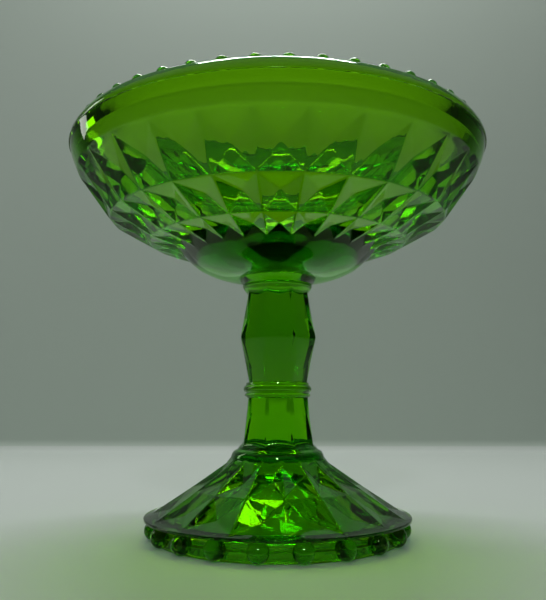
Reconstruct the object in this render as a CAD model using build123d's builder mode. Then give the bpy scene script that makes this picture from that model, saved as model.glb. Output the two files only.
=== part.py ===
"""Footed pressed-glass compote: a faceted bowl with a beaded rim, on an octagonal stem and a conical foot.

Millimetres, +Z up. The origin is the bottom centre of the foot, on the surface that the foot stands on.
The sections of the glass are hot-fused, so they meet face to face and nothing moves.
"""

import os
from math import cos, radians, sin

from build123d import *

# Heights of the joints between the sections.
FOOT_TOP = 26.8
COLLAR_TOP = 31.2
LOWER_STEM_TOP = 48.7
STEM_RING_TOP = 54.1
UPPER_STEM_TOP = 88.0
NECK_TOP = 92.4
RIM_TOP = 142.2

# Bowl: ridges (radius, height) from the smooth band down to the boss, and the pits sunk between them.
BOWL_COLUMNS = 28
BOWL_TURN = 7.4
BOWL_RIDGES = [(72.8, 128.2), (61.8, 113.1), (47.5, 105.2), (34.3, 100.6)]
BOWL_PITS = [(65.1, 121.1), (52.8, 111.0), (38.4, 104.2)]
BAND_MIDDLE = (74.9, 132.6)
BAND_FOOT = 137.6
BAND_RADIUS = 76.7
BAND_STEP = 0.35
RIM_BULGE = (76.1, 139.8)
RIM_OUTER = 74.3
RIM_INNER = 69.9
RIM_ROUNDING = 0.4
BOSS_CURVE = [(14.5, NECK_TOP), (21.0, 92.9), (29.0, 96.0), (34.6, 100.9)]
BOSS_ROOT = (33.1, 106.0)
CAVITY_FLOOR = 102.4
CAVITY_SHOULDER = (37.5, 108.8)
CAVITY_MIDDLE = (57.6, 121.6)
LEDGE = (69.1, 136.0)
LEDGE_STEP = 0.5

# Beads on the rim, and beads under the foot's flange.
RIM_BEADS = 48
RIM_BEAD_RADIUS = 2.35
RIM_BEAD_SUNK = 0.35
RIM_BEAD_RING = 72.1
RIM_BEAD_TURN = 2.6
BASE_BEADS = 20
BASE_BEAD_RADIUS = 3.45
BASE_BEAD_RING = 43.2
BASE_BEAD_TURN = 10.3

# Stem: an octagon, given by its corner radius, that swells to a knop.
STEM_SIDES = 8
STEM_TURN = 26.4
KNOP_HEIGHT = 70.3
KNOP_CORNER = 14.7
STEM_TOP_CORNER = 11.4
STEM_WAIST_CORNER = 11.2
LOWER_TOP_CORNER = 11.5
LOWER_BOTTOM_CORNER = 13.4
FLARE_HEIGHT = 3.0
TOP_FLARE_FOOT = 10.2
TOP_FLARE_MIDDLE = (10.9, 86.2)
LOWER_FLARE_TOP = 12.0
LOWER_FLARE_MIDDLE = (12.6, 32.6)
UPPER_SECTIONS = [(STEM_RING_TOP, STEM_WAIST_CORNER), (KNOP_HEIGHT, KNOP_CORNER),
                  (UPPER_STEM_TOP, STEM_TOP_CORNER)]
LOWER_SECTIONS = [(COLLAR_TOP, LOWER_BOTTOM_CORNER), (LOWER_STEM_TOP, LOWER_TOP_CORNER)]

# Slender kites cut on every corner of the octagon: heights of the bottom, the widest place and the top.
UPPER_KITES = [(KNOP_HEIGHT, 76.5, 86.5), (STEM_RING_TOP, 61.5, KNOP_HEIGHT)]
LOWER_KITES = [(34.0, 42.0, 48.6)]
KITE_DEPTH = 0.55
KITE_CUTTER_REACH = 3.0

# Soft rings on the neck and in the middle of the stem: bulges and grooves as (radius, height).
NECK_RADIUS = 12.1
NECK_LOWER_BULGE = (12.9, 89.1)
NECK_GROOVE = (12.7, 90.2)
NECK_UPPER_BULGE = (13.8, 91.1)
STEM_RING_BULGE = (12.4, 51.7)
LIP_RADIUS = 11.7
LIP_BULGE = (12.0, 49.5)
LOWER_LIP_TOP = 50.2
UPPER_LIP_FOOT = 53.2
UPPER_LIP_INSET = 0.4

# Foot: a cone with its own ridges and pits, a thin flange, and a ring that it rests on.
FOOT_COLUMNS = 16
FOOT_TURN = 3.9
FOOT_RIDGES = [(16.8, 26.8), (31.1, 17.0), (45.3, 8.0)]
FOOT_PITS = [(22.9, 20.2), (38.0, 10.7)]
COLLAR_RADIUS = 16.8
COLLAR_BULGE = (16.4, 28.8)
COLLAR_SHOULDER = (14.9, 30.2)
COLLAR_BLEND = (14.2, 30.6)
COLLAR_NECK = 13.9
FLANGE_RADIUS = 46.9
FLANGE_TOP = 7.9
FLANGE_BOTTOM = 6.9
FLANGE_EDGE_BULGE = 0.1
FLANGE_LIP_INSET = 0.3
FLANGE_ROOT = (43.5, 8.45)
UNDERCUT_RADIUS = 41.4
REST_RING_OUTER = 43.0
REST_RING_INNER = 38.4
REST_RING_HEIGHT = 3.5
RING_ROOT = 30.0
HOLLOW_SHOULDER = (37.0, 4.6)
HOLLOW_CROWN = (16.0, 18.6)
HOLLOW_TOP = 20.2

# How far past the ridges a pit cutter reaches, and how far the blank stands proud of its ridges.
CUTTER_REACH = 1.9
BLANK_MARGIN = 0.3


def around(radius, height, angle):
    """The point at this radius and height, at this angle in degrees from -Y towards +X."""
    return Vector(radius * sin(radians(angle)), -radius * cos(radians(angle)), height)


def column_turns(columns, turn):
    """One location at the middle of each column; the first ridge is at this turn from -Y."""
    return [Location((0, 0, 0), (0, 0, turn + (column + 0.5) * 360 / columns)) for column in range(columns)]


def column_cutters(ridges, pits, columns):
    """The cutters of one column of cells: a four-sided pyramid, point inwards, for each pit."""
    half = 180 / columns
    with BuildPart() as cutters:
        for upper, lower, pit in zip(ridges, ridges[1:], pits):
            apex = around(*pit, 0)
            corners = [around(*upper, -half), around(*upper, half)]
            corners += [around(*lower, half), around(*lower, -half)]
            opening = Wire.make_polygon([apex + (corner - apex) * CUTTER_REACH for corner in corners])
            loft([Face(opening), Vertex(*apex)], ruled=True)
    return cutters.part


def proud(ridge):
    """A ridge point moved out by the blank's margin."""
    return (ridge[0] + BLANK_MARGIN, ridge[1])


def octagon(height, corner_radius):
    """A sketch of the stem's octagon at this height."""
    with BuildSketch(Plane.XY.offset(height)) as section:
        RegularPolygon(corner_radius, STEM_SIDES, rotation=STEM_TURN - 90)
    return section.sketch


def corner_radius(height, sections):
    """The octagon's corner radius at this height, on the straight edge between two of the sections."""
    for (low, low_radius), (high, high_radius) in zip(sections, sections[1:]):
        if low <= height <= high:
            return low_radius + (high_radius - low_radius) * (height - low) / (high - low)
    raise ValueError(f"no section of the stem at height {height}")


def kite_cutter(kite, sections):
    """A wedge that takes the kite off a corner standing on +X. Both of its ends touch the corner's edge."""
    bottom, widest, top = kite
    low, high = (corner_radius(bottom, sections), bottom), (corner_radius(top, sections), top)
    deepest = (corner_radius(widest, sections) - KITE_DEPTH, widest)
    with BuildPart() as cutter:
        with BuildSketch(Plane.XZ):
            Polygon(low, deepest, high, (high[0] + KITE_CUTTER_REACH, top),
                    (low[0] + KITE_CUTTER_REACH, bottom), align=None)
        extrude(amount=KITE_CUTTER_REACH, both=True)
    return cutter.part


def faceted_stem(sections, kites):
    """The octagon through these sections, with its kites cut on all eight corners."""
    with BuildPart() as stem:
        for section in sections:
            add(octagon(*section))
        loft(ruled=True)
        corner_turns = [STEM_TURN - 90 + corner * 360 / STEM_SIDES for corner in range(STEM_SIDES)]
        with Locations([Location((0, 0, 0), (0, 0, turn)) for turn in corner_turns]):
            for kite in kites:
                add(kite_cutter(kite, sections), mode=Mode.SUBTRACT)
    return stem.part


def make_bowl():
    """Faceted wall, smooth band, rolled rim and the boss underneath, with a smooth round inside."""
    top, first, second, last = BOWL_RIDGES
    band_foot = (BAND_RADIUS - BAND_STEP, BAND_FOOT)
    with BuildPart() as bowl:
        with BuildSketch(Plane.XZ):
            with BuildLine():
                Polyline((0, BAND_FOOT), (0, last[1]), last, proud(second), proud(first), top)
                Spline(top, BAND_MIDDLE, band_foot)
                Line(band_foot, (0, BAND_FOOT))
            make_face()
        revolve(axis=Axis.Z)
        with Locations(column_turns(BOWL_COLUMNS, BOWL_TURN)):
            add(column_cutters(BOWL_RIDGES, BOWL_PITS, BOWL_COLUMNS), mode=Mode.SUBTRACT)
        # The rolled rim stands a little proud of the band below it.
        with BuildSketch(Plane.XZ):
            with BuildLine():
                rim_shoulder = (RIM_OUTER + RIM_ROUNDING, RIM_TOP - RIM_ROUNDING)
                Polyline((0, BAND_FOOT), (0, RIM_TOP), (RIM_OUTER, RIM_TOP))
                RadiusArc((RIM_OUTER, RIM_TOP), rim_shoulder, RIM_ROUNDING)
                ThreePointArc(rim_shoulder, RIM_BULGE, (BAND_RADIUS, BAND_FOOT))
                Line((BAND_RADIUS, BAND_FOOT), (0, BAND_FOOT))
            make_face()
        revolve(axis=Axis.Z)
        with BuildSketch(Plane.XZ):
            with BuildLine():
                Polyline((0, BOSS_ROOT[1]), (0, NECK_TOP), BOSS_CURVE[0])
                Spline(*BOSS_CURVE)
                Polyline(BOSS_CURVE[-1], BOSS_ROOT, (0, BOSS_ROOT[1]))
            make_face()
        revolve(axis=Axis.Z)
        with BuildSketch(Plane.XZ):
            with BuildLine():
                floor = TangentArc((0, CAVITY_FLOOR), CAVITY_SHOULDER, tangent=(1, 0))
                Spline(CAVITY_SHOULDER, CAVITY_MIDDLE, LEDGE, tangents=(floor % 1, (0.3, 1)))
                Polyline(LEDGE, (LEDGE[0] + LEDGE_STEP, LEDGE[1] + LEDGE_STEP), (RIM_INNER, RIM_TOP),
                         (0, RIM_TOP), (0, CAVITY_FLOOR))
            make_face()
        revolve(axis=Axis.Z, mode=Mode.SUBTRACT)
    return bowl


def make_rim_beads():
    """The row of round beads standing on the rim."""
    with BuildPart() as beads:
        with Locations((0, 0, RIM_TOP - RIM_BEAD_SUNK)):
            with PolarLocations(RIM_BEAD_RING, RIM_BEADS, start_angle=RIM_BEAD_TURN - 90):
                Sphere(RIM_BEAD_RADIUS)
        split(bisect_by=Plane.XY.offset(RIM_TOP), keep=Keep.TOP)
    return beads


def make_neck_rings():
    """The joining wafer between stem and bowl, pressed as two soft rings."""
    with BuildPart() as neck:
        with BuildSketch(Plane.XZ):
            with BuildLine():
                Polyline((NECK_RADIUS, UPPER_STEM_TOP), (0, UPPER_STEM_TOP), (0, NECK_TOP), BOSS_CURVE[0])
                ThreePointArc(BOSS_CURVE[0], NECK_UPPER_BULGE, NECK_GROOVE)
                ThreePointArc(NECK_GROOVE, NECK_LOWER_BULGE, (NECK_RADIUS, UPPER_STEM_TOP))
            make_face()
        revolve(axis=Axis.Z)
    return neck


def make_upper_stem():
    """The knop: an octagon that swells to a crease and narrows again, with a round flare at its top."""
    with BuildPart() as stem:
        add(faceted_stem(UPPER_SECTIONS, UPPER_KITES))
        with BuildSketch(Plane.XZ):
            flare_foot = UPPER_STEM_TOP - FLARE_HEIGHT
            with BuildLine():
                Line((0, flare_foot), (TOP_FLARE_FOOT, flare_foot))
                ThreePointArc((TOP_FLARE_FOOT, flare_foot), TOP_FLARE_MIDDLE, (NECK_RADIUS, UPPER_STEM_TOP))
                Polyline((NECK_RADIUS, UPPER_STEM_TOP), (0, UPPER_STEM_TOP), (0, flare_foot))
            make_face()
        revolve(axis=Axis.Z)
    return stem


def make_stem_ring():
    """The round ring in the middle of the stem, between two thin lips."""
    with BuildPart() as ring:
        with BuildSketch(Plane.XZ):
            with BuildLine():
                lower_lip = (LIP_RADIUS, LOWER_LIP_TOP)
                upper_lip = (LIP_RADIUS - UPPER_LIP_INSET / 2, UPPER_LIP_FOOT)
                Polyline((LIP_RADIUS, LOWER_STEM_TOP), (0, LOWER_STEM_TOP), (0, STEM_RING_TOP),
                         (LIP_RADIUS - UPPER_LIP_INSET, STEM_RING_TOP), upper_lip)
                ThreePointArc(upper_lip, STEM_RING_BULGE, lower_lip)
                ThreePointArc(lower_lip, LIP_BULGE, (LIP_RADIUS, LOWER_STEM_TOP))
            make_face()
        revolve(axis=Axis.Z)
    return ring


def make_lower_stem():
    """The plain octagon below the ring, widening downwards, with a round flare at its foot."""
    with BuildPart() as stem:
        add(faceted_stem(LOWER_SECTIONS, LOWER_KITES))
        with BuildSketch(Plane.XZ):
            flare_top = COLLAR_TOP + FLARE_HEIGHT
            with BuildLine():
                Polyline((0, flare_top), (0, COLLAR_TOP), (COLLAR_NECK, COLLAR_TOP))
                ThreePointArc((COLLAR_NECK, COLLAR_TOP), LOWER_FLARE_MIDDLE, (LOWER_FLARE_TOP, flare_top))
                Line((LOWER_FLARE_TOP, flare_top), (0, flare_top))
            make_face()
        revolve(axis=Axis.Z)
    return stem


def make_foot_collar():
    """The rounded shoulder between the stem and the cone of the foot."""
    with BuildPart() as collar:
        with BuildSketch(Plane.XZ):
            with BuildLine():
                Polyline((COLLAR_RADIUS, FOOT_TOP), (0, FOOT_TOP), (0, COLLAR_TOP),
                         (COLLAR_NECK, COLLAR_TOP))
                ThreePointArc((COLLAR_NECK, COLLAR_TOP), COLLAR_BLEND, COLLAR_SHOULDER)
                ThreePointArc(COLLAR_SHOULDER, COLLAR_BULGE, (COLLAR_RADIUS, FOOT_TOP))
            make_face()
        revolve(axis=Axis.Z)
    return collar


def make_foot():
    """The hollow cone with two rows of pits, the thin flange round it and the ring it rests on."""
    top, middle, last = FOOT_RIDGES
    with BuildPart() as foot:
        with BuildSketch(Plane.XZ):
            with BuildLine():
                Polyline((0, REST_RING_HEIGHT), (0, FOOT_TOP), top, proud(middle), last,
                         (UNDERCUT_RADIUS - 1, REST_RING_HEIGHT), (0, REST_RING_HEIGHT))
            make_face()
        revolve(axis=Axis.Z)
        with Locations(column_turns(FOOT_COLUMNS, FOOT_TURN)):
            add(column_cutters(FOOT_RIDGES, FOOT_PITS, FOOT_COLUMNS), mode=Mode.SUBTRACT)
        with BuildSketch(Plane.XZ):
            with BuildLine():
                flange_edge = (FLANGE_RADIUS + FLANGE_EDGE_BULGE, (FLANGE_TOP + FLANGE_BOTTOM) / 2)
                flange_lip = (FLANGE_RADIUS - FLANGE_LIP_INSET, FLANGE_BOTTOM)
                Polyline((RING_ROOT, 0), (RING_ROOT, FLANGE_TOP), (REST_RING_INNER, FLANGE_TOP),
                         FLANGE_ROOT, (FLANGE_RADIUS, FLANGE_TOP))
                ThreePointArc((FLANGE_RADIUS, FLANGE_TOP), flange_edge, flange_lip)
                Polyline(flange_lip, (UNDERCUT_RADIUS, FLANGE_BOTTOM), (UNDERCUT_RADIUS, REST_RING_HEIGHT),
                         (REST_RING_OUTER, REST_RING_HEIGHT), (REST_RING_OUTER, 0), (RING_ROOT, 0))
            make_face()
        revolve(axis=Axis.Z)
        with BuildSketch(Plane.XZ):
            with BuildLine():
                Polyline((0, HOLLOW_TOP), (0, 0), (REST_RING_INNER, 0), HOLLOW_SHOULDER, HOLLOW_CROWN)
                TangentArc((0, HOLLOW_TOP), HOLLOW_CROWN, tangent=(1, 0))
            make_face()
        revolve(axis=Axis.Z, mode=Mode.SUBTRACT)
    return foot


def make_base_beads(foot):
    """The round beads between the flange and the resting ring, shaped to the foot where they join it."""
    with BuildPart() as beads:
        with Locations((0, 0, BASE_BEAD_RADIUS)):
            with PolarLocations(BASE_BEAD_RING, BASE_BEADS, start_angle=BASE_BEAD_TURN - 90):
                Sphere(BASE_BEAD_RADIUS)
        add(foot.part, mode=Mode.SUBTRACT)
    return beads


foot = make_foot()
pieces = {
    "bowl": make_bowl(),
    "rim_beads": make_rim_beads(),
    "neck_rings": make_neck_rings(),
    "upper_stem": make_upper_stem(),
    "stem_ring": make_stem_ring(),
    "lower_stem": make_lower_stem(),
    "foot_collar": make_foot_collar(),
    "foot": foot,
    "base_beads": make_base_beads(foot),
}

os.makedirs("parts", exist_ok=True)
for name, piece in pieces.items():
    piece.part.label = name
    export_step(piece.part, f"parts/{name}.step")
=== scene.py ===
"""Looks of the footed green-glass compote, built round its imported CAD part. Metres, +Z up."""

from math import atan2, cos, degrees, radians, sin

import bmesh
import bpy
from mathutils import Matrix, Vector


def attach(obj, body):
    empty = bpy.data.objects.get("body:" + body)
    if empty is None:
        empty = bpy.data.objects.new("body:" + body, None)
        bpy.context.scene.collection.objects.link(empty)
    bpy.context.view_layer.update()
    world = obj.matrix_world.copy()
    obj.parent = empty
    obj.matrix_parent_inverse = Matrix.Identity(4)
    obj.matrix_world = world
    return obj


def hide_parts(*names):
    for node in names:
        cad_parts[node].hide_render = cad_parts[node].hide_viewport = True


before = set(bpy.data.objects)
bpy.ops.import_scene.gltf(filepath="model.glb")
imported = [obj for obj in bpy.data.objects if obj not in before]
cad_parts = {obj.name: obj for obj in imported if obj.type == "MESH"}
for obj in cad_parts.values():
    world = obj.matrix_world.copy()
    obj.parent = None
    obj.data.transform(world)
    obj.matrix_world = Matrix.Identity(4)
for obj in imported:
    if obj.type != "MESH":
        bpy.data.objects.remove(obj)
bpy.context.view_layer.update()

MM = 0.001

# Lengths are in millimetres unless a comment says metres, and turns are in degrees round the axis.
# A point is (radius, height), and a corner (radius, height, cut), as rounded() takes it.

# The bowl. Its ridges and pits go from the smooth band down to the boss.
BOWL_COLUMNS = 28
BOWL_TURN = 7.4
BOWL_STEPS = 8
BOWL_RIDGES = [(72.8, 128.2), (61.8, 113.1), (47.5, 105.2), (34.3, 100.6)]
BOWL_PITS = [(65.1, 121.1), (52.8, 111.0), (38.4, 104.2)]
BAND_SLOPE = 0.476
BOSS_CURVE = [(14.4, 92.42), (21.0, 92.9), (29.0, 96.0), (34.6, 100.9)]
BAND_CURVE = [(73.6, 129.75), (74.9, 132.6), (75.8, 135.2), (76.3, 137.35)]
RIM_CORNERS = [(76.38, 137.52, 0), (76.7, 137.56, 0.25), (76.55, 138.7, 0), (76.1, 139.8, 0),
               (75.45, 140.85, 0), (74.5, 142.2, 0.6), (69.9, 142.2, 0.4), (69.62, 136.35, 0.35),
               (69.05, 135.8, 0)]
CAVITY_CURVE = [(68.0, 132.6), (63.5, 126.6), (54.2, 119.1), (41.9, 111.1), (27.0, 105.72),
                (15.0, 103.42), (4.0, 102.47)]
CAVITY_FLOOR = 102.4

# Beads: how many, their radius, the radius of their ring, their height and the first one's angle.
RIM_BEADS = 48, 2.35, 72.1, 141.84, 2.6
BASE_BEADS = 20, 3.45, 43.2, 3.5, 10.3
BEAD_SEGMENTS, BEAD_RINGS = 20, 14

# The foot.
FOOT_COLUMNS = 16
FOOT_RIDGES = [(16.8, 26.8), (31.1, 17.0), (45.3, 8.0)]
FOOT_PITS = [(22.9, 20.2), (38.0, 10.7)]
FLANGE_ROOT, FLANGE_SLOPE = (43.5, 8.45), 0.162
FOOT_CORNERS = [(46.5, 7.96, 0), (46.98, 7.88, 0.3), (46.98, 6.9, 0.3), (41.4, 6.9, 0.35),
                (41.4, 3.5, 0.4), (43.0, 3.5, 0.4), (43.0, 0.0, 0.5), (38.4, 0.0, 0.5),
                (37.0, 4.6, 1.2), (17.0, 17.8, 0), (13.0, 19.1, 0), (9.0, 19.75, 0), (4.5, 20.12, 0)]
HOLLOW_TOP = 20.2

# The stem, from the joint under the bowl down to the foot.
# Octagons are (height, corner radius, radius of the round part that merges with it).
STEM_TURN = 26.4
NECK_CURVE = [(14.4, 92.38), (14.03, 91.5), (13.25, 90.6), (12.75, 90.1), (12.93, 89.4), (12.35, 88.3)]
UPPER_OCTAGONS = [(87.9, 11.42, 12.0), (87.0, 11.59, 11.35), (86.0, 11.77, 10.8), (84.6, 12.03, 10.1),
                  (71.3, 14.5, 0), (70.3, 14.62, 0), (69.3, 14.47, 0), (54.25, 11.24, 0)]
UPPER_LIP = [(11.35, 54.05), (11.5, 53.6), (11.55, 53.2)]
RING_CURVE = [(11.9, 52.9), (12.28, 52.4), (12.4, 51.7), (12.26, 51.0), (11.68, 50.2)]
LOWER_LIP = [(11.9, 49.9), (12.0, 49.5), (11.6, 48.75)]
LOWER_OCTAGONS = [(48.55, 11.5, 0), (34.6, 13.03, 11.6), (34.0, 13.1, 11.98), (33.2, 13.2, 12.3),
                  (32.3, 13.3, 12.8), (31.5, 13.4, 13.6)]
COLLAR_CURVE = [(14.0, 31.1), (14.5, 30.45), (15.85, 29.7), (16.65, 28.0), (16.78, 27.2)]
# Degrees from one corner of the octagon to the next, and how far its inner vertices lie along half a side.
SIDE = 45
HALF_SIDE = SIDE / 2
SIDE_SHARES = 0.3, 0.65

# Slender kites cut on each corner of the octagon: the heights of the lower end, widest place and upper end.
KITES = [(70.3, 76.5, 86.5), (54.1, 61.5, 70.3), (34.0, 42.0, 48.6)]
KITE_DEPTH = 0.55
KITE_EASE = 0.7
# A corner is blunted at least this deep, and its edge is at least this many degrees from it.
LEAST_DEPTH, LEAST_EDGE = 0.06, 1.6
# The edge's place on the round parts, and how far it is rounded on both sides, in degrees.
PLAIN_EDGE = 5.5
EDGE_ROUNDING = 0.7

# Creases of the pits are rounded over this width. Edges sharper than this many degrees stay sharp.
CREASE_WIDTH, CREASE_SEGMENTS = 0.5, 2
SHARP_EDGE = 48

# How many steps go from each point of a curve to the next.
CURVE_STEPS, CAVITY_STEPS = 2, 3

# The glass. The tint is taken at each skin and the absorption, per metre, in its depth.
SKIN_TINT = (0.3, 0.68, 0.02, 1)
REFLECTION_TINT = (0.5, 0.8, 0.3, 1)
LAMP_TINT = (0.45, 0.42, 1, 1)
DEPTH_COLOUR, DEPTH_DENSITY = (0.817, 0.94, 0.0, 1), 300
GLASS_IOR = 1.52
# Ripples of the pressing, with their height in metres.
RIPPLE_SCALE, RIPPLE_DETAIL, RIPPLE_STRENGTH, RIPPLE_DISTANCE = 90, 1.5, 0.12, 0.001
# Roughness where the glass is clean, what haze adds to it, and roughness where it is worn.
POLISH, HAZE, WORN = 0.01, 0.04, 0.3
# The resting edge is worn up to this height, in metres.
WEAR_HEIGHT = 0.0006

# The studio, in metres.
WALL_Y = 0.40
WALL_HEIGHT = 0.6
FLOOR_FRONT = -2.0
COVE = 0.012
SWEEP_HALF_WIDTH = 2.0
# Painted light: the paint has its full colour within the radius of a painted pool of light, and fades to
# the given share of it farther out as painted shade.
PAINTED_POOL_Y, PAINTED_POOL_RADIUS, PAINTED_POOL_FADE = 0.22, 0.32, 0.4
PAINTED_SHADE_BEYOND_POOL = 0.35
FLOOR_COLOUR, WALL_COLOUR = (0.48, 0.53, 0.49), (0.41, 0.48, 0.42)
PAINT_ROUGHNESS = 0.75
WORLD_TINT = (0.9, 1.0, 0.95, 1)
WORLD_DIM, WORLD_CEILING = 0.03, 0.3
# The ceiling's glow rises between these upward parts of a direction.
CEILING_EDGE = 0.55, 0.85
CAMERA_PLACE = (0, -0.253, 0.0475)
CAMERA_TILT, CAMERA_TURN = 98.35, 0.37
LENS, SENSOR = 41.28, 36


def around(radius, height, angle):
    """The point at this radius and height in millimetres, at this angle in degrees from -Y towards +X."""
    return Vector((radius * sin(radians(angle)), -radius * cos(radians(angle)), height)) * MM


def at(value, angle):
    """The value itself, or what it gives for this angle where it is a function."""
    return value(angle) if callable(value) else value


def ring(bm, radius, height, angles):
    """A ring of vertices. radius and height are numbers or functions of the angle."""
    return [bm.verts.new(around(at(radius, a), at(height, a), a)) for a in angles]


def smooth(points, steps):
    """The curve that runs smoothly through these points, with this many steps from each to the next."""
    path = []
    ends = [points[0]] + points + [points[-1]]
    for stretch in zip(ends, ends[1:], ends[2:], ends[3:]):
        for t in (k / steps for k in range(steps)):
            weights = (-t + 2 * t**2 - t**3, 2 - 5 * t**2 + 3 * t**3, t + 4 * t**2 - 3 * t**3,
                       t**3 - t**2)
            path.append(tuple(sum(w * p for w, p in zip(weights, axis)) / 2 for axis in zip(*stretch)))
    return path + [points[-1]]


def rounded(corners):
    """The outline through these corners, each rounded from its cut's length on both sides."""
    path = []
    for before, corner, after in zip([corners[0]] + corners, corners, corners[1:] + [corners[-1]]):
        middle, cut = Vector(corner[:2]), corner[2]
        if cut:
            start = middle + (Vector(before[:2]) - middle).normalized() * cut
            end = middle + (Vector(after[:2]) - middle).normalized() * cut
            path += [tuple(start.lerp(middle, t).lerp(middle.lerp(end, t), t)) for t in (0, 0.5, 1)]
        else:
            path.append(tuple(middle))
    return path


def bridge(bm, first, second):
    """Quads between two rings of the same length."""
    count = len(first)
    for i in range(count):
        j = (i + 1) % count
        bm.faces.new((first[i], first[j], second[j], second[i]))


def close_ring(bm, loop, height):
    """A fan from a ring to a point on the axis."""
    centre = bm.verts.new((0, 0, height * MM))
    for i, vertex in enumerate(loop):
        bm.faces.new((vertex, loop[(i + 1) % len(loop)], centre))


def facet_rows(bm, top_edge, bottom_edge, middles, pits, columns):
    """The pyramids between ridges, as faces.

    top_edge and bottom_edge are rings with several vertices to a column, middles the rings of ridge corners
    between them, and pits one ring of pyramid points for each row.
    """
    faces = []
    rows = [top_edge] + middles + [bottom_edge]
    for row, pit_ring in enumerate(pits):
        upper, lower = rows[row], rows[row + 1]
        upper_steps, lower_steps = len(upper) // columns, len(lower) // columns
        for column, pit in enumerate(pit_ring):
            above = [upper[(column * upper_steps + k) % len(upper)] for k in range(upper_steps + 1)]
            below = [lower[(column * lower_steps + k) % len(lower)] for k in range(lower_steps + 1)]
            faces.append(bm.faces.new([pit] + above))
            faces.append(bm.faces.new([pit] + below[::-1]))
            faces.append(bm.faces.new([pit, above[-1], below[-1]]))
            faces.append(bm.faces.new([pit, below[0], above[0]]))
    return faces


def soften(bm, faces):
    """Rounds every crease that these faces meet at."""
    bm.normal_update()
    inside = set(faces)
    edges = {e for f in faces for e in f.edges if all(other in inside for other in e.link_faces)}
    bmesh.ops.bevel(bm, geom=list(edges), offset=CREASE_WIDTH * MM, segments=CREASE_SEGMENTS, profile=0.5,
                    affect="EDGES", clamp_overlap=False, offset_type="OFFSET")


def beads(name, count, radius, ring_radius, height, turn):
    """A ring of round beads as one object."""
    bm = bmesh.new()
    for k in range(count):
        place = Matrix.Translation(around(ring_radius, height, turn + k * 360 / count))
        bmesh.ops.create_uvsphere(bm, u_segments=BEAD_SEGMENTS, v_segments=BEAD_RINGS,
                                  radius=radius * MM, matrix=place)
    return to_object(bm, name)


def to_object(bm, name):
    """The bmesh as a smooth-shaded object in the scene."""
    bmesh.ops.recalc_face_normals(bm, faces=bm.faces)
    mesh = bpy.data.meshes.new(name)
    bm.to_mesh(mesh)
    bm.free()
    obj = bpy.data.objects.new(name, mesh)
    bpy.context.scene.collection.objects.link(obj)
    mesh.shade_smooth()
    return obj


def fuse(obj, studs):
    """Joins the studs to the object and keeps only the outer skin."""
    join = obj.modifiers.new("fuse", "BOOLEAN")
    join.operation = "UNION"
    join.solver = "EXACT"
    join.object = studs
    bpy.context.view_layer.update()
    fused = bpy.data.meshes.new_from_object(obj.evaluated_get(bpy.context.evaluated_depsgraph_get()))
    obj.modifiers.clear()
    obj.data = fused
    bpy.data.objects.remove(studs)


def finish_shading(obj):
    """Flat facets between round creases, with true edges only where a bead meets the glass."""
    obj.data.set_sharp_from_angle(angle=radians(SHARP_EDGE))
    weighted = obj.modifiers.new("facet_normals", "WEIGHTED_NORMAL")
    weighted.keep_sharp = True
    weighted.weight = 100


def make_bowl():
    """Bowl with its band, rim, beads and boss as one skin of glass."""
    bm = bmesh.new()
    steps, columns = BOWL_STEPS, BOWL_COLUMNS
    pitch = 360 / columns
    fine = [BOWL_TURN + k * pitch / steps for k in range(columns * steps)]
    coarse = [BOWL_TURN + k * pitch for k in range(columns)]
    centres = [a + pitch / 2 for a in coarse]
    chord = cos(radians(pitch / 2))

    def off_centre(angle):
        return radians((angle - BOWL_TURN) % pitch - pitch / 2)

    # The band's lower edge is where the upper facets of the first row run out through it.
    (top_r, top_z), (pit_r, pit_z) = BOWL_RIDGES[0], BOWL_PITS[0]
    rise = (top_z - pit_z) / (top_r * chord - pit_r)

    def scallop_lift(angle):
        flat = cos(off_centre(angle))
        return rise * (top_r * flat - top_r * chord) / (1 - rise * BAND_SLOPE * flat)

    top_edge = ring(bm, lambda a: top_r + BAND_SLOPE * scallop_lift(a),
                    lambda a: top_z + scallop_lift(a), fine)
    # The boss's edge lies in the lower facets of the last row.
    (low_r, low_z), (pit_r, pit_z) = BOWL_RIDGES[3], BOWL_PITS[2]
    fall = (pit_z - low_z) / (pit_r - low_r * chord)
    boss = smooth(BOSS_CURVE, CURVE_STEPS)
    boss_r = boss[-1][0]
    bottom_edge = ring(bm, boss_r,
                       lambda a: low_z + fall * (boss_r * cos(off_centre(a)) - low_r * chord), fine)
    middles = [ring(bm, *BOWL_RIDGES[1], coarse), ring(bm, *BOWL_RIDGES[2], coarse)]
    pits = [ring(bm, *pit, centres) for pit in BOWL_PITS]
    faces = facet_rows(bm, top_edge, bottom_edge, middles, pits, columns)

    loop = top_edge
    outline = smooth(BAND_CURVE, CURVE_STEPS) + rounded(RIM_CORNERS) + smooth(CAVITY_CURVE, CAVITY_STEPS)
    for point in outline:
        following = ring(bm, *point, fine)
        bridge(bm, loop, following)
        loop = following
    close_ring(bm, loop, CAVITY_FLOOR)
    loop = bottom_edge
    for point in boss[-2::-1]:
        following = ring(bm, *point, fine)
        bridge(bm, loop, following)
        loop = following
    close_ring(bm, loop, boss[0][1])
    soften(bm, faces)
    bowl = to_object(bm, "bowl_glass")
    fuse(bowl, beads("rim_studs", *RIM_BEADS))
    finish_shading(bowl)
    return bowl


def kite_depth(height):
    """How deep the kite cuts the octagon's corners at this height."""
    for bottom, widest, top in KITES:
        if bottom < height < top:
            end = bottom if height < widest else top
            return KITE_DEPTH * (height - end) / (widest - end)
    return 0.0


def kite_edge(corner, depth):
    """The angle from the corner at which the kite meets the octagon's side."""
    blunt = corner - depth
    # Where the side's line and the kite's line cross.
    across = (corner - blunt) * cos(radians(HALF_SIDE)) / sin(radians(HALF_SIDE))
    return degrees(atan2(across, blunt))


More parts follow.
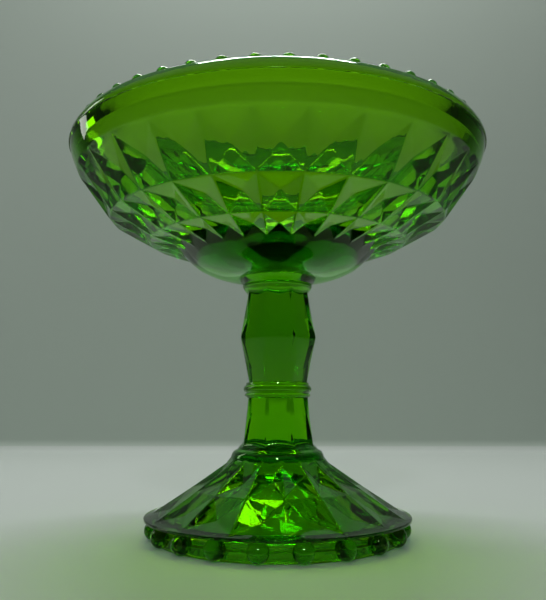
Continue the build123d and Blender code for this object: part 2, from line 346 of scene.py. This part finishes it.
def stem_angles(edge):
    """Angles round the stem, gathered at each corner and at both edges of its kite."""
    half = [0, edge / 2, edge - EDGE_ROUNDING, edge + EDGE_ROUNDING]
    half += [edge + (HALF_SIDE - edge) * share for share in SIDE_SHARES]
    side = half + [HALF_SIDE] + [SIDE - off for off in half[:0:-1]]
    return [STEM_TURN + start + off for start in range(0, 360, SIDE) for off in side]


def stem_radius(corner, depth, circle, angle):
    """Distance from the axis to the octagon with its corners cut, or to the round part if that's larger."""
    if not corner:
        return circle
    off = (angle - STEM_TURN) % SIDE
    off = min(off, SIDE - off)
    flat = corner * cos(radians(HALF_SIDE)) / cos(radians(HALF_SIDE - off))
    blunt = (corner - depth) / cos(radians(off))
    return max(min(flat, blunt), circle)


def octagons(keys):
    """Sections down an octagonal length: the given ones, and more where a kite ends or is widest."""
    rows = [keys[0]]
    turning = {height for bottom, widest, top in KITES
               for height in (bottom, widest - KITE_EASE, widest, widest + KITE_EASE, top)}
    for start, end in zip(keys, keys[1:]):
        for height in sorted(turning, reverse=True):
            if end[0] < height < start[0]:
                share = (start[0] - height) / (start[0] - end[0])
                circle = start[2] + (end[2] - start[2]) * share if end[2] else 0
                rows.append((height, start[1] + (end[1] - start[1]) * share, circle))
        rows.append(end)
    return rows


def round_sections(curve):
    """Sections down a round length."""
    return [(height, 0, radius) for radius, height in curve]


def stem_sections():
    """Every section of the stem as (height, octagon corner radius, round radius), from the top down."""
    neck, collar = smooth(NECK_CURVE, CURVE_STEPS), smooth(COLLAR_CURVE, CURVE_STEPS)
    ring_and_lips = UPPER_LIP + smooth(RING_CURVE, CURVE_STEPS) + smooth(LOWER_LIP, CURVE_STEPS)
    return (round_sections(neck) + octagons(UPPER_OCTAGONS) + round_sections(ring_and_lips)
            + octagons(LOWER_OCTAGONS) + round_sections(collar))


def make_stem_and_foot():
    """Neck rings, stem, foot and beads as one skin of glass."""
    bm = bmesh.new()
    loop = None
    for height, corner, circle in stem_sections():
        depth = max(kite_depth(height), LEAST_DEPTH)
        edge = max(kite_edge(corner, depth), LEAST_EDGE) if corner else PLAIN_EDGE
        turns = stem_angles(edge)
        following = ring(bm, lambda a: stem_radius(corner, depth, circle, a), height, turns)
        if loop is None:
            close_ring(bm, following, height)
        else:
            bridge(bm, loop, following)
        loop = following

    angles = stem_angles(PLAIN_EDGE)
    pitch = 360 / FOOT_COLUMNS
    coarse = [STEM_TURN + k * pitch for k in range(FOOT_COLUMNS)]
    centres = [a + pitch / 2 for a in coarse]
    chord = cos(radians(pitch / 2))
    top_edge = ring(bm, *FOOT_RIDGES[0], angles)
    bridge(bm, loop, top_edge)
    (low_r, low_z), (pit_r, pit_z) = FOOT_RIDGES[2], FOOT_PITS[1]
    fall = (pit_z - low_z) / (low_r * chord - pit_r)
    root_r, root_z = FLANGE_ROOT

    # The lower facets of the last row run out through the top of the flange.
    def reach(angle):
        off = radians((angle - STEM_TURN) % pitch - pitch / 2)
        return (pit_z + fall * pit_r - root_z - FLANGE_SLOPE * root_r) / (fall * cos(off) - FLANGE_SLOPE)

    bottom_edge = ring(bm, reach, lambda a: root_z - FLANGE_SLOPE * (reach(a) - root_r), angles)
    middles = [ring(bm, *FOOT_RIDGES[1], coarse)]
    pits = [ring(bm, *pit, centres) for pit in FOOT_PITS]
    faces = facet_rows(bm, top_edge, bottom_edge, middles, pits, FOOT_COLUMNS)
    loop = bottom_edge
    for point in rounded(FOOT_CORNERS):
        following = ring(bm, *point, angles)
        bridge(bm, loop, following)
        loop = following
    close_ring(bm, loop, HOLLOW_TOP)
    soften(bm, faces)
    stem = to_object(bm, "stem_and_foot_glass")
    fuse(stem, beads("base_studs", *BASE_BEADS))
    finish_shading(stem)
    return stem


def glass_material(name):
    """Green glass: shiny tinted skin with faint pressing ripples, over a depth that absorbs light."""
    material = bpy.data.materials.new(name)
    material.use_nodes = True
    nodes, links = material.node_tree.nodes, material.node_tree.links
    shader = nodes["Principled BSDF"]
    shader.inputs["Base Color"].default_value = SKIN_TINT
    shader.inputs["IOR"].default_value = GLASS_IOR
    shader.inputs["Transmission Weight"].default_value = 1.0
    shader.inputs["Specular Tint"].default_value = REFLECTION_TINT
    place = nodes.new("ShaderNodeTexCoord")
    ripple = nodes.new("ShaderNodeTexNoise")
    ripple.inputs["Scale"].default_value = RIPPLE_SCALE
    ripple.inputs["Detail"].default_value = RIPPLE_DETAIL
    links.new(place.outputs["Object"], ripple.inputs["Vector"])
    bump = nodes.new("ShaderNodeBump")
    bump.inputs["Strength"].default_value = RIPPLE_STRENGTH
    bump.inputs["Distance"].default_value = RIPPLE_DISTANCE
    links.new(ripple.outputs["Fac"], bump.inputs["Height"])
    links.new(bump.outputs["Normal"], shader.inputs["Normal"])
    # Fire polish with faint haze in places, worn dull where the foot rests.
    height = nodes.new("ShaderNodeSeparateXYZ")
    links.new(place.outputs["Object"], height.inputs["Vector"])
    wear = nodes.new("ShaderNodeMapRange")
    wear.inputs["From Max"].default_value = WEAR_HEIGHT
    wear.inputs["To Min"].default_value = WORN
    wear.inputs["To Max"].default_value = POLISH
    links.new(height.outputs["Z"], wear.inputs["Value"])
    haze = nodes.new("ShaderNodeMath")
    haze.operation = "MULTIPLY_ADD"
    haze.inputs[1].default_value = HAZE
    links.new(ripple.outputs["Fac"], haze.inputs[0])
    links.new(wear.outputs["Result"], haze.inputs[2])
    links.new(haze.outputs["Value"], shader.inputs["Roughness"])
    depth = nodes.new("ShaderNodeVolumeAbsorption")
    depth.inputs["Color"].default_value = DEPTH_COLOUR
    depth.inputs["Density"].default_value = DEPTH_DENSITY
    links.new(depth.outputs["Volume"], nodes["Material Output"].inputs["Volume"])
    # Lamps reach what lies behind the glass, tinted on the way.
    path = nodes.new("ShaderNodeLightPath")
    through = nodes.new("ShaderNodeBsdfTransparent")
    through.inputs["Color"].default_value = LAMP_TINT
    mix = nodes.new("ShaderNodeMixShader")
    links.new(path.outputs["Is Shadow Ray"], mix.inputs["Fac"])
    links.new(shader.outputs["BSDF"], mix.inputs[1])
    links.new(through.outputs["BSDF"], mix.inputs[2])
    links.new(mix.outputs["Shader"], nodes["Material Output"].inputs["Surface"])
    return material


def paint_with_painted_light_pool(name, colour):
    """A matt studio surface with a painted pool of light: pale round the object and dimmer farther out, as
    painted shade.
    """
    material = bpy.data.materials.new(name)
    material.use_nodes = True
    nodes, links = material.node_tree.nodes, material.node_tree.links
    shader = nodes["Principled BSDF"]
    shader.inputs["Roughness"].default_value = PAINT_ROUGHNESS
    place = nodes.new("ShaderNodeTexCoord")
    plan = nodes.new("ShaderNodeVectorMath")
    plan.operation = "MULTIPLY_ADD"
    plan.inputs[1].default_value = (1, 1, 0)
    plan.inputs[2].default_value = (0, -PAINTED_POOL_Y, 0)
    links.new(place.outputs["Object"], plan.inputs[0])
    reach = nodes.new("ShaderNodeVectorMath")
    reach.operation = "LENGTH"
    links.new(plan.outputs["Vector"], reach.inputs[0])
    # Painted shade: the colour dims outside the painted pool of light.
    fade = nodes.new("ShaderNodeMapRange")
    fade.interpolation_type = "SMOOTHSTEP"
    fade.inputs["From Min"].default_value = PAINTED_POOL_RADIUS
    fade.inputs["From Max"].default_value = PAINTED_POOL_RADIUS + PAINTED_POOL_FADE
    links.new(reach.outputs["Value"], fade.inputs["Value"])
    blend = nodes.new("ShaderNodeMix")
    blend.data_type = "RGBA"
    blend.inputs["A"].default_value = (*colour, 1)
    blend.inputs["B"].default_value = (*[PAINTED_SHADE_BEYOND_POOL * part for part in colour], 1)
    links.new(fade.outputs["Result"], blend.inputs["Factor"])
    links.new(blend.outputs["Result"], shader.inputs["Base Color"])
    return material


def make_sweep():
    """Pale floor that turns up into a plain wall behind the object, both with a painted pool of light and
    painted shade farther out.
    """
    bm = bmesh.new()
    profile = [(FLOOR_FRONT, 0.0), (WALL_Y - COVE, 0.0)]
    profile += [(WALL_Y - COVE + COVE * sin(radians(a)), COVE - COVE * cos(radians(a)))
                for a in range(10, 90, 10)]
    profile += [(WALL_Y, COVE), (WALL_Y, WALL_HEIGHT)]
    lines = [[bm.verts.new((x, y, z)) for x in (-SWEEP_HALF_WIDTH, SWEEP_HALF_WIDTH)] for y, z in profile]
    for lower, upper in zip(lines, lines[1:]):
        bm.faces.new((lower[0], lower[1], upper[1], upper[0]))
    sweep = to_object(bm, "studio_sweep")
    sweep.data.materials.append(paint_with_painted_light_pool("floor_paint_with_light_pool", FLOOR_COLOUR))
    sweep.data.materials.append(paint_with_painted_light_pool("wall_paint_with_light_pool", WALL_COLOUR))
    for face in sweep.data.polygons:
        face.material_index = int(face.center.z > COVE / 2)


def add_light(name, location, target, size, power):
    """A soft white rectangular lamp that faces its target. Lengths in metres, power in watts."""
    data = bpy.data.lights.new(name, "AREA")
    data.shape = "RECTANGLE"
    data.size, data.size_y = size
    data.energy = power
    lamp = bpy.data.objects.new(name, data)
    lamp.location = location
    lamp.rotation_euler = (Vector(target) - Vector(location)).to_track_quat("-Z", "Y").to_euler()
    bpy.context.scene.collection.objects.link(lamp)


def make_world():
    """Dim surroundings under a pale ceiling, which the glass gathers through the mouth of the bowl."""
    world = bpy.data.worlds.new("surroundings")
    world.use_nodes = True
    nodes, links = world.node_tree.nodes, world.node_tree.links
    background = nodes["Background"]
    background.inputs["Color"].default_value = WORLD_TINT
    place = nodes.new("ShaderNodeTexCoord")
    height = nodes.new("ShaderNodeSeparateXYZ")
    links.new(place.outputs["Generated"], height.inputs["Vector"])
    glow = nodes.new("ShaderNodeMapRange")
    glow.interpolation_type = "SMOOTHSTEP"
    glow.inputs["From Min"].default_value, glow.inputs["From Max"].default_value = CEILING_EDGE
    glow.inputs["To Min"].default_value = WORLD_DIM
    glow.inputs["To Max"].default_value = WORLD_CEILING
    links.new(height.outputs["Z"], glow.inputs["Value"])
    links.new(glow.outputs["Result"], background.inputs["Strength"])
    bpy.context.scene.world = world
    bpy.context.scene.view_settings.view_transform = "Standard"


def make_camera():
    """The viewpoint: low, level with the stem, looking slightly up."""
    data = bpy.data.cameras.new("camera")
    data.lens = LENS
    data.sensor_width = SENSOR
    camera = bpy.data.objects.new("camera", data)
    camera.location = CAMERA_PLACE
    camera.rotation_euler = (radians(CAMERA_TILT), 0, radians(CAMERA_TURN))
    bpy.context.scene.collection.objects.link(camera)
    bpy.context.scene.camera = camera


glass = glass_material("green_glass")
bowl = make_bowl()
stem = make_stem_and_foot()
for piece in (bowl, stem):
    piece.data.materials.clear()
    piece.data.materials.append(glass)
    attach(piece, "root")
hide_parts("bowl", "rim_beads")
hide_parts("neck_rings", "upper_stem", "stem_ring", "lower_stem", "foot_collar", "foot",
            "base_beads")

make_sweep()
make_world()
make_camera()
add_light("overhead", (0, 0.18, 1.0), (0, 0, 0), (0.6, 0.06), 4.6)
add_light("behind", (0, 0.36, 0.72), (0, 0, 0.1), (0.5, 0.05), 0.9)
add_light("key", (0, -0.95, 0.72), (0, 0, 0.08), (0.1, 0.06), 1.8)
add_light("window", (-0.55, 0.22, 0.32), (0, 0, 0.05), (0.1, 0.35), 0.3)
